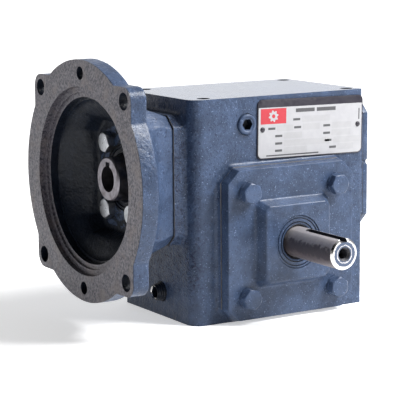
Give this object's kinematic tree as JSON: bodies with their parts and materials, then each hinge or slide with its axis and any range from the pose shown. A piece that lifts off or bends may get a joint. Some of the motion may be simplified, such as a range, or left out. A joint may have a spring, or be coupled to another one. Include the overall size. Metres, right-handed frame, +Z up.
{
  "type": "right-angle worm gear reducer",
  "caption": "Right-angle worm gear reducer: blue cast housing, motor face flange with hollow keyed input, and a keyed output shaft turned by the input.",
  "frame": {"origin": "on the flat base, below the crossing of the input and output axes seen from above", "axes": "+Z up from the base, -X out of the motor flange along the input axis, -Y out of the housing along the output shaft"},
  "size_m": [0.192, 0.179, 0.1617],
  "materials": {
    "painted_casting": "blue-grey enamel over a sand casting, fine orange-peel texture",
    "painted_hardware": "the same blue-grey enamel over steel fasteners",
    "zinc_steel": "zinc plated",
    "shaft_steel": "ground and turned bare steel with a light brown film",
    "worm_steel": "hardened steel, dull",
    "bearing_steel": "ground",
    "wheel_bronze": "machined bronze",
    "seal_rubber": "matte, dusty",
    "gasket_paper": "dark oiled gasket paper",
    "nameplate_print": "satin printed aluminium plate without lettering"
  },
  "bodies": {
    "casing": {"housing": "painted_casting", "motor_flange": "painted_casting", "output_cover": "painted_casting", "rear_cover": "painted_casting", "end_cap": "painted_casting", "output_cover_bolt_1": "painted_hardware", "output_cover_bolt_2": "painted_hardware", "output_cover_bolt_3": "painted_hardware", "output_cover_bolt_4": "painted_hardware", "rear_cover_bolt_1": "painted_hardware", "rear_cover_bolt_2": "painted_hardware", "rear_cover_bolt_3": "painted_hardware", "rear_cover_bolt_4": "painted_hardware", "end_cap_bolt_1": "painted_hardware", "end_cap_bolt_2": "painted_hardware", "end_cap_bolt_3": "painted_hardware", "end_cap_bolt_4": "painted_hardware", "output_cover_washer_1": "painted_hardware", "output_cover_washer_2": "painted_hardware", "output_cover_washer_3": "painted_hardware", "output_cover_washer_4": "painted_hardware", "rear_cover_washer_1": "painted_hardware", "rear_cover_washer_2": "painted_hardware", "rear_cover_washer_3": "painted_hardware", "rear_cover_washer_4": "painted_hardware", "fill_plug": "painted_hardware", "level_plug": "painted_hardware", "drain_plug": "painted_hardware", "motor_flange_bolt_1": "zinc_steel", "motor_flange_bolt_2": "zinc_steel", "motor_flange_bolt_3": "zinc_steel", "motor_flange_bolt_4": "zinc_steel", "nameplate_pin_1": "zinc_steel", "nameplate_pin_2": "zinc_steel", "output_bearing_cup_front": "bearing_steel", "output_bearing_cup_rear": "bearing_steel", "input_bearing_outer_ring": "bearing_steel", "tail_bearing_outer_ring": "bearing_steel", "input_seal": "seal_rubber", "output_seal": "seal_rubber", "motor_flange_gasket": "gasket_paper", "end_cap_gasket": "gasket_paper", "output_cover_gasket": "gasket_paper", "rear_cover_gasket": "gasket_paper", "nameplate": "nameplate_print"},
    "output": {"output_shaft": "shaft_steel", "worm_wheel": "wheel_bronze", "wheel_key": "shaft_steel", "shaft_spacer": "shaft_steel", "output_bearing_cone_front": "bearing_steel", "output_bearing_cone_rear": "bearing_steel"},
    "worm": {"worm_shaft": "worm_steel", "input_bearing_inner_ring": "bearing_steel", "tail_bearing_inner_ring": "bearing_steel"},
    "rollers_front": {"output_roller_set_front": "bearing_steel"},
    "rollers_rear": {"output_roller_set_rear": "bearing_steel"},
    "balls_input": {"input_ball_set": "bearing_steel"},
    "balls_tail": {"tail_ball_set": "bearing_steel"}
  },
  "joints": [
    {"name": "output_spin", "type": "hinge", "parent": "casing", "child": "output", "pos_m": [0, 0, 0.0484], "axis": [0, 1, 0], "continuous": true},
    {"name": "input_spin", "type": "hinge", "parent": "casing", "child": "worm", "pos_m": [0, 0, 0.0884], "axis": [1, 0, 0], "continuous": true},
    {"name": "rollers_front_spin", "type": "hinge", "parent": "casing", "child": "rollers_front", "pos_m": [0, -0.0425, 0.0484], "axis": [0, 1, 0], "continuous": true},
    {"name": "rollers_rear_spin", "type": "hinge", "parent": "casing", "child": "rollers_rear", "pos_m": [0, 0.0425, 0.0484], "axis": [0, 1, 0], "continuous": true},
    {"name": "balls_input_spin", "type": "hinge", "parent": "casing", "child": "balls_input", "pos_m": [-0.054, 0, 0.0884], "axis": [1, 0, 0], "continuous": true},
    {"name": "balls_tail_spin", "type": "hinge", "parent": "casing", "child": "balls_tail", "pos_m": [0.053, 0, 0.0884], "axis": [1, 0, 0], "continuous": true}
  ],
  "couplings": [
    {"joint": "input_spin", "follows": "output_spin", "ratio": -20},
    {"joint": "rollers_front_spin", "follows": "output_spin", "ratio": 0.4258},
    {"joint": "rollers_rear_spin", "follows": "output_spin", "ratio": 0.4258},
    {"joint": "balls_input_spin", "follows": "output_spin", "ratio": -7.98},
    {"joint": "balls_tail_spin", "follows": "output_spin", "ratio": -7.98}
  ]
}
